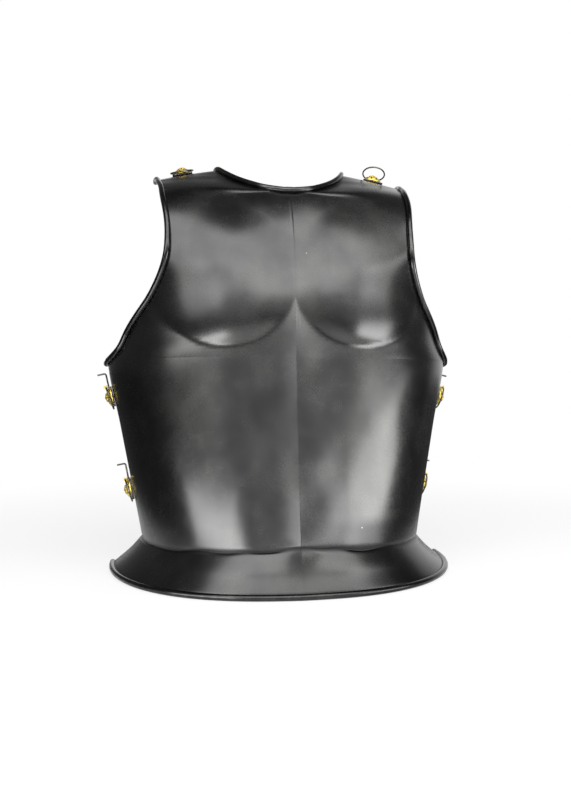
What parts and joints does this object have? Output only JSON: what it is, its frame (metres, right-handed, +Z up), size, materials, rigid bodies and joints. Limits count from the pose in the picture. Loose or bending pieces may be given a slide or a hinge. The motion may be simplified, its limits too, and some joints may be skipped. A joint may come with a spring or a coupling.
{
  "type": "steel breastplate",
  "caption": "Blackened steel breastplate with median ridge, chest domes, flared waist flange, rolled edges, brass rosettes, tie rings and half hinges with pins.",
  "frame": {"origin": "on the ground, under the middle of the box that holds the plate and its fittings", "axes": "+Z up; the wearer's chest faces -Y; +X is the wearer's left side, which is the right of the picture"},
  "size_m": [0.4362, 0.206, 0.4827],
  "materials": {
    "blackened_steel": "satin blackened steel",
    "dark_steel": "dull dark steel",
    "ring_steel": "dull steel wire",
    "brass": "polished cast brass, darker in the recesses"
  },
  "bodies": {
    "plate": {"breastplate": "blackened_steel", "shoulder_left_hinge_leaf": "dark_steel", "shoulder_left_hinge_pin": "dark_steel", "shoulder_left_rosette": "brass", "shoulder_right_hinge_leaf": "dark_steel", "shoulder_right_hinge_pin": "dark_steel", "shoulder_right_rosette": "brass", "side_upper_left_hinge_leaf": "dark_steel", "side_upper_left_hinge_pin": "dark_steel", "side_upper_left_rosette": "brass", "side_upper_right_hinge_leaf": "dark_steel", "side_upper_right_hinge_pin": "dark_steel", "side_upper_right_rosette": "brass", "side_lower_left_hinge_leaf": "dark_steel", "side_lower_left_hinge_pin": "dark_steel", "side_lower_left_rosette": "brass", "side_lower_right_hinge_leaf": "dark_steel", "side_lower_right_hinge_pin": "dark_steel", "side_lower_right_rosette": "brass"},
    "ring_shoulder_left": {"shoulder_left_ring": "ring_steel"},
    "ring_shoulder_right": {"shoulder_right_ring": "ring_steel"},
    "ring_side_upper_left": {"side_upper_left_ring": "ring_steel"},
    "ring_side_upper_right": {"side_upper_right_ring": "ring_steel"},
    "ring_side_lower_left": {"side_lower_left_ring": "ring_steel"},
    "ring_side_lower_right": {"side_lower_right_ring": "ring_steel"}
  },
  "joints": [
    {"name": "swing_shoulder_left", "type": "hinge", "parent": "plate", "child": "ring_shoulder_left", "pos_m": [-0.1189, 0.08588, 0.47279], "axis": [-0.981, 0.0109, -0.1938], "range_deg": [0, 150]},
    {"name": "swing_shoulder_right", "type": "hinge", "parent": "plate", "child": "ring_shoulder_right", "pos_m": [0.1189, 0.08588, 0.47279], "axis": [-0.981, -0.0109, 0.1938], "range_deg": [-32, 118]},
    {"name": "swing_side_upper_left", "type": "hinge", "parent": "plate", "child": "ring_side_upper_left", "pos_m": [-0.20593, 0.07113, 0.20935], "axis": [-0.1042, 0.9944, -0.0178], "range_deg": [0, 165]},
    {"name": "swing_side_upper_right", "type": "hinge", "parent": "plate", "child": "ring_side_upper_right", "pos_m": [0.20593, 0.07113, 0.20935], "axis": [-0.1042, -0.9944, 0.0178], "range_deg": [0, 165]},
    {"name": "swing_side_lower_left", "type": "hinge", "parent": "plate", "child": "ring_side_lower_left", "pos_m": [-0.18313, 0.07141, 0.10162], "axis": [-0.0773, 0.997, -0.0091], "range_deg": [0, 165]},
    {"name": "swing_side_lower_right", "type": "hinge", "parent": "plate", "child": "ring_side_lower_right", "pos_m": [0.18313, 0.07141, 0.10162], "axis": [-0.0773, -0.997, 0.0091], "range_deg": [0, 165]}
  ]
}
